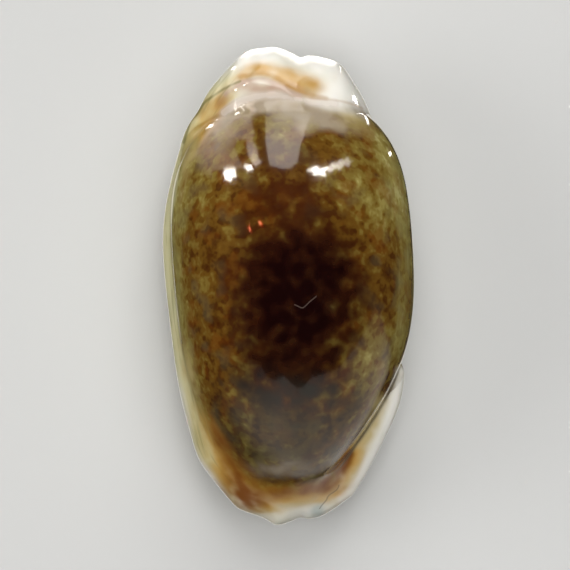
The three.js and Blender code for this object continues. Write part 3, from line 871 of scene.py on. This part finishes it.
def lip_teeth():
    """Waves the skin of one lip into ridges and furrows, by its distance past the lip's edge."""
    tree = bpy.data.node_groups.new("lip_teeth", "GeometryNodeTree")
    face = tree.interface
    face.new_socket("Geometry", in_out="OUTPUT", socket_type="NodeSocketGeometry")
    face.new_socket("Geometry", in_out="INPUT", socket_type="NodeSocketGeometry")
    for name in ("Lip side", "Teeth", "First tooth", "Last tooth", "Reach", "Ridge height", "Furrow depth"):
        face.new_socket(name, in_out="INPUT", socket_type="NodeSocketFloat")
    face.new_socket("Enamel", in_out="INPUT", socket_type="NodeSocketMaterial")
    given = add(tree, "NodeGroupInput").node.outputs

    # Which tooth each place lies by, as a count from the first one.
    along = add(tree, "ShaderNodeSeparateXYZ", (add(tree, "GeometryNodeInputPosition"),), 1)
    row = add(tree, "ShaderNodeMath", (given["Last tooth"], given["First tooth"]), operation="SUBTRACT")
    gaps = add(tree, "ShaderNodeMath", (given["Teeth"], 1.0), operation="SUBTRACT")
    pitch = add(tree, "ShaderNodeMath", (row, gaps), operation="DIVIDE")
    from_first = add(tree, "ShaderNodeMath", (along, given["First tooth"]), operation="SUBTRACT")
    count = add(tree, "ShaderNodeMath", (from_first, pitch), operation="DIVIDE")

    # A wave along the lip, narrow at its ridges.
    angle = add(tree, "ShaderNodeMath", (count, 2 * math.pi), operation="MULTIPLY")
    cosine = add(tree, "ShaderNodeMath", (angle,), operation="COSINE")
    wave = add(tree, "ShaderNodeMath", (cosine, 0.5, 0.5), operation="MULTIPLY_ADD")
    narrow = add(tree, "ShaderNodeMath", (wave, 1.4), operation="POWER")
    ridge = add(tree, "ShaderNodeMath", (narrow, given["Ridge height"]), operation="MULTIPLY")
    hollow = add(tree, "ShaderNodeMath", (1.0, wave), operation="SUBTRACT")
    furrow = add(tree, "ShaderNodeMath", (hollow, given["Furrow depth"]), operation="MULTIPLY")
    lift = add(tree, "ShaderNodeMath", (ridge, furrow), operation="SUBTRACT")

    # The wave fades past both ends of the row and away from the lip's edge, and stays on its own lip.
    kept = {name: add(tree, "GeometryNodeInputNamedAttribute", {"Name": name}, data_type="FLOAT")
            for name in ("past_edge", "lip_side", "on_lip")}
    from_last = add(tree, "ShaderNodeMath", (given["Teeth"], count), operation="SUBTRACT")
    reached = add(tree, "ShaderNodeMath", (kept["past_edge"], given["Reach"]), operation="DIVIDE")
    side = add(tree, "ShaderNodeMath", (kept["lip_side"], given["Lip side"]), operation="MULTIPLY")
    for value, start, end in ((count, -0.6, 0.0), (from_last, 0.4, 1.0), (reached, 1.0, 0.35),
                              (side, 0.0, 0.5), (kept["on_lip"], 0.0, 1.0)):
        flip = start > end
        share = add(tree, "ShaderNodeMapRange",
                    (value, min(start, end), max(start, end), float(flip), float(not flip)),
                    interpolation_type="SMOOTHSTEP")
        lift = add(tree, "ShaderNodeMath", (lift, share), operation="MULTIPLY")

    outward = add(tree, "GeometryNodeInputNormal")
    offset = add(tree, "ShaderNodeVectorMath", {0: outward, "Scale": lift}, operation="SCALE")
    raised = add(tree, "GeometryNodeSetPosition", {"Geometry": given["Geometry"], "Offset": offset})
    real = add(tree, "GeometryNodeRealizeInstances", {"Geometry": raised})
    glazed = add(tree, "GeometryNodeSetMaterial", {"Geometry": real, "Material": given["Enamel"]})
    add(tree, "NodeGroupOutput", (glazed,))
    return tree


teeth_tree = lip_teeth()
socket = {item.name: item.identifier for item in teeth_tree.interface.items_tree if item.in_out == "INPUT"}
for name, lip in LIPS.items():
    row = shell.modifiers.new(name + "_teeth", "NODES")
    row.node_group = teeth_tree
    row[socket["Lip side"]] = float(lip["side"])
    row[socket["Teeth"]] = float(lip["teeth"])
    row[socket["First tooth"]] = (lip["first"] + centring[1]) * MM
    row[socket["Last tooth"]] = (lip["last"] + centring[1]) * MM
    row[socket["Reach"]] = lip["reach"]
    row[socket["Ridge height"]] = RIDGE * MM
    row[socket["Furrow depth"]] = FURROW * MM
    row[socket["Enamel"]] = enamel

finished = bpy.data.meshes.new_from_object(shell.evaluated_get(bpy.context.evaluated_depsgraph_get()))
shell.modifiers.clear()
shell.vertex_groups.clear()
shell.data = finished

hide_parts("shell")
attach(shell, "root")


# Studio
# A plain pale floor, three soft lights, and a camera straight above with the photograph's field. The gloss
# alone also sees pale flat shapes: a window behind the hind end, a curtain before the front end, and a card.

HALF_FLOOR = 3.0
floor_mesh = bpy.data.meshes.new("floor")
floor_corners = [(HALF_FLOOR * i, HALF_FLOOR * j, 0) for i, j in ((-1, -1), (1, -1), (1, 1), (-1, 1))]
floor_mesh.from_pydata(floor_corners, [], [(0, 1, 2, 3)])
floor = bpy.data.objects.new("floor", floor_mesh)
scene.collection.objects.link(floor)

# Matt paper, which takes a soft shadow and shows no glare.
paper = bpy.data.materials.new("pale_paper")
paper.use_nodes = True
matt = paper.node_tree.nodes["Principled BSDF"].inputs
matt["Base Color"].default_value = colour("#c4c4c2")
matt["Roughness"].default_value = 0.9
floor_mesh.materials.append(paper)

# The gloss doesn't see the pale floor, so that the sides stay as deep in colour as in the photograph.
floor.visible_glossy = False

# The photograph's field, which it spans at the height of the shell's middle, a touch off its centre.
FIELD = 33.31 * MM
CAMERA_HEIGHT = 0.404
MIDDLE_OF_SHELL = 0.004
lens = bpy.data.cameras.new("camera")
lens.sensor_width = 36
lens.lens = 36 * (CAMERA_HEIGHT - MIDDLE_OF_SHELL) / FIELD
lens.clip_start = 0.05
lens.clip_end = 10
camera = bpy.data.objects.new("camera", lens)
camera.location = (-0.187 * MM, 0.064 * MM, CAMERA_HEIGHT)
scene.collection.objects.link(camera)
scene.camera = camera


def glow(name, depth, corners, faces=None, code="#fffaf2"):
    """A flat glowing shape that only the gloss sees, upright at this depth along Y. Each of its corners is
    (x, z, radiance)."""
    mesh = bpy.data.meshes.new(name)
    mesh.from_pydata([(x, depth, z) for x, z, radiance in corners], [], faces or [range(len(corners))])
    mesh.attributes.new("radiance", "FLOAT", "POINT").data.foreach_set("value", [c[2] for c in corners])
    light = bpy.data.materials.new(name)
    light.use_nodes = True
    tree = light.node_tree
    tree.nodes.clear()
    strength = add(tree, "ShaderNodeAttribute", out="Fac", attribute_name="radiance")
    shine = add(tree, "ShaderNodeEmission", {"Color": colour(code), "Strength": strength})
    add(tree, "ShaderNodeOutputMaterial", {"Surface": shine})
    mesh.materials.append(light)
    made = bpy.data.objects.new(name, mesh)
    scene.collection.objects.link(made)
    made.visible_camera = False
    made.visible_diffuse = False
    made.visible_shadow = False
    return made


def glow_rows(name, depth, rows, code="#fffaf2"):
    """A glowing shape whose corners come in rows of as many each."""
    wide = len(rows[0])
    starts = [i for i in range(wide * (len(rows) - 1)) if i % wide != wide - 1]
    glow(name, depth, sum(rows, []), [(i, i + 1, i + 1 + wide, i + wide) for i in starts], code)


# How far behind and before the shell the two walls of shapes stand, in metres.
WINDOW_WALL = 0.5
CURTAIN_WALL = -0.5

# The window's middle pane, from its uneven top down to a sill where it fades: height, left, right, radiance.
MIDDLE_PANE = [
    (0.397, -0.09, -0.02, 5.2), (0.352, -0.184, 0.036, 5.2), (0.293, -0.185, 0.046, 5.2),
    (0.214, -0.172, 0.053, 5.2), (0.134, -0.161, 0.07, 4.8), (0.07, -0.15, 0.075, 3.4),
    (0.0, -0.14, 0.085, 2.2), (-0.1, -0.13, 0.1, 1.0), (-0.25, -0.12, 0.12, 0.0)]
rows = [[(left, height, radiance), (right, height, radiance)]
        for height, left, right, radiance in MIDDLE_PANE]
glow_rows("window_middle", WINDOW_WALL, rows)

# Its left pane, and a veil in which the pane's outer foot fades out.
LEFT_FOOT = [
    (-0.831, -0.029, 1.8), (-0.86, -0.305, 1.2), (-0.72, -0.52, 1.4), (-0.45, -0.6, 2.2), (-0.3, -0.42, 1.2)]
glow("window_left", WINDOW_WALL, [
    (-0.22, -0.25, 1.0), (-0.205, -0.128, 1.6), (-0.219, 0.056, 2.4), (-0.249, 0.107, 3.0),
    (-0.238, 0.202, 4.5), (-0.255, 0.27, 7.0), (-0.243, 0.31, 12.0), (-0.308, 0.323, 12.0),
    (-0.329, 0.237, 5.0), (-0.315, 0.144, 3.2), (-0.286, 0.071, 2.4), (-0.341, 0.03, 1.5), (-0.4, 0.06, 1.4),
    (-0.425, 0.207, 2.4), (-0.41, 0.29, 3.2), (-0.473, 0.262, 2.6), (-0.625, 0.181, 2.4)] + LEFT_FOOT,
     code="#fff0e2")
rows = [LEFT_FOOT,
        [(-0.95, 0.05, 0), (-1.1, -0.35, 0), (-0.9, -0.85, 0), (-0.5, -0.95, 0), (-0.25, -0.8, 0)]]
glow_rows("window_left_veil", WINDOW_WALL, rows, code="#fff0e2")

# Small fierce glints round the window, and dimmer ones that the flanks mirror.
glow("glare_far_left", WINDOW_WALL, [
    (-0.639, 0.108, 12), (-0.56, 0.15, 8), (-0.503, 0.219, 16), (-0.535, 0.26, 50), (-0.564, 0.306, 60),
    (-0.62, 0.285, 60), (-0.677, 0.306, 60), (-0.7, 0.26, 60), (-0.744, 0.228, 40), (-0.7, 0.19, 50),
    (-0.721, 0.147, 16), (-0.665, 0.16, 40)])
glow("glare_left", WINDOW_WALL, [
    (-0.401, 0.26, 30), (-0.365, 0.29, 50), (-0.335, 0.3, 60), (-0.35, 0.318, 60), (-0.339, 0.34, 60),
    (-0.375, 0.325, 60), (-0.407, 0.331, 50), (-0.4, 0.305, 50), (-0.422, 0.291, 30)])
glow("glare_right", WINDOW_WALL, [
    (0.125, 0.414, 50), (0.167, 0.382, 50), (0.21, 0.35, 50), (0.245, 0.375, 60), (0.327, 0.319, 50),
    (0.3, 0.382, 60), (0.348, 0.408, 30), (0.274, 0.411, 60), (0.193, 0.439, 50), (0.2, 0.4, 60)])
glow("glare_right_tail", WINDOW_WALL, [
    (0.3, 0.36, 26), (0.325, 0.325, 22), (0.339, 0.28, 16), (0.38, 0.26, 16), (0.416, 0.2, 12),
    (0.445, 0.19, 10), (0.47, 0.133, 8), (0.51, 0.15, 8), (0.552, 0.117, 5), (0.53, 0.165, 8),
    (0.548, 0.199, 7), (0.48, 0.225, 12), (0.455, 0.301, 12), (0.41, 0.3, 16), (0.353, 0.367, 22)])
glow("glare_flank_left", WINDOW_WALL, [
    (-0.53, -1.1, 8), (-0.46, -0.95, 20), (-0.44, -0.72, 24), (-0.47, -0.66, 20), (-0.49, -0.9, 16)])
glow("glare_flank_right", WINDOW_WALL, [
    (0.945, -1.5, 20), (1.0, -1.5, 20), (0.99, -1.1, 30), (0.94, -1.1, 30)])
glow("glare_hip_right", WINDOW_WALL, [
    (0.37, -1.3, 8), (0.395, -1.0, 10), (0.44, -0.64, 8), (0.46, -0.64, 8), (0.43, -1.0, 10),
    (0.4, -1.3, 8)])

# Two embers of red light over the dome, each a small hot core in a dim halo.
for name, depth, x_ember, z_ember in (("ember_left", 0.27, -0.53, 0.572), ("ember_right", 0.3, -0.372, 0.6)):
    for part, reach, radiance, code in (("core", 0.011, 260, "#ff9a70"), ("halo", 0.026, 14, "#ff3c14")):
        glow(name + "_" + part, depth, [
            (x_ember + reach * u, z_ember + reach * v, radiance)
            for u, v in ((-1, -0.6), (0.2, -1.3), (1, -0.2), (0.8, 1.2), (-0.5, 1.0))], code=code)

# A bright tabletop far behind the shell, which the lobes of its hind end mirror along their upper edges.
rows = [[(x, z, radiance * share) for x, share in ((-0.42, 0), (-0.3, 1), (0.2, 1), (0.31, 0))]
        for z, radiance in ((-0.3, 0.0), (-0.55, 4.0), (-1.7, 5.0))]
glow_rows("tabletop", WINDOW_WALL, rows)

# The curtain's scalloped top, its foot and how brightly it glows, from the lip's side round to the other. It
# is brighter lower down.
CURTAIN = [
    (-1.3, 0.7, -0.3, 0.0), (-0.95, 0.71, -0.3, 0.1), (-0.75, 0.72, -0.25, 0.25), (-0.6, 0.737, -0.2, 0.4),
    (-0.415, 0.642, -0.12, 0.65), (-0.274, 0.659, -0.12, 0.85), (-0.151, 0.731, -0.14, 1.0),
    (-0.046, 0.667, -0.25, 1.0), (0.067, 0.599, -0.36, 1.0), (0.184, 0.6, -0.45, 1.0),
    (0.3, 0.659, -0.6, 1.0), (0.41, 0.63, -0.9, 1.0), (0.513, 0.603, -1.5, 0.9), (0.714, 0.481, -1.6, 0.65),
    (0.85, 0.44, -1.4, 0.7), (1.05, 0.44, -1.5, 0.8), (1.371, 0.368, -1.4, 0.7), (2.385, 0.316, -1.0, 0.4),
    (5.6, 0.1, -0.5, 0.1)]
CURTAIN_RADIANCE = 0.66
LOWER_GAIN = 1.7
rows = [
    [(x, top, CURTAIN_RADIANCE * share) for x, top, foot, share in CURTAIN],
    [(x, mix(foot, top, 0.3), CURTAIN_RADIANCE * LOWER_GAIN * share) for x, top, foot, share in CURTAIN],
    [(x, foot, 0.0) for x, top, foot, share in CURTAIN],
]
glow_rows("curtain", CURTAIN_WALL, rows)

# A pale card, laid flat just below the floor, reaches a little past the shell's outline. Only the steepest
# gloss, at the very rim, mirrors it and stays as pale there as in the photograph.
CARD_REACH = (1.17, 1.09)
CARD_RADIANCE = 0.85
CARD_DROP = 0.1
card = glow("card", 0.0, [(a * CARD_REACH[0] * MM, b * CARD_REACH[1] * MM, CARD_RADIANCE)
                          for a, b in round_line(RIM, True, 2)])
card.rotation_euler = (-math.pi / 2, 0, 0)
card.location.z = -CARD_DROP * MM

# The softboxes do the even lighting and, like a light tent, leave no image of themselves in the gloss.
for name, at, size, power in (("hind_softbox", (0.05, 0.6, 0.6), 0.6, 5.0),
                              ("top_softbox", (0.15, -0.1, 0.9), 0.9, 6.6),
                              ("side_softbox", (-0.75, 0.0, 0.4), 0.5, 3.0)):
    data = bpy.data.lights.new(name, "AREA")
    data.shape = "SQUARE"
    data.size = size
    data.energy = power
    softbox = bpy.data.objects.new(name, data)
    softbox.location = at
    softbox.rotation_euler = Vector(at).to_track_quat("Z", "Y").to_euler()
    softbox.visible_camera = False
    softbox.visible_glossy = False
    scene.collection.objects.link(softbox)

# The rest of the room is dim.
world = bpy.data.worlds.new("studio")
scene.world = world
world.use_nodes = True
world.node_tree.nodes["Background"].inputs["Color"].default_value = colour("#202020")
scene.view_settings.view_transform = "Standard"
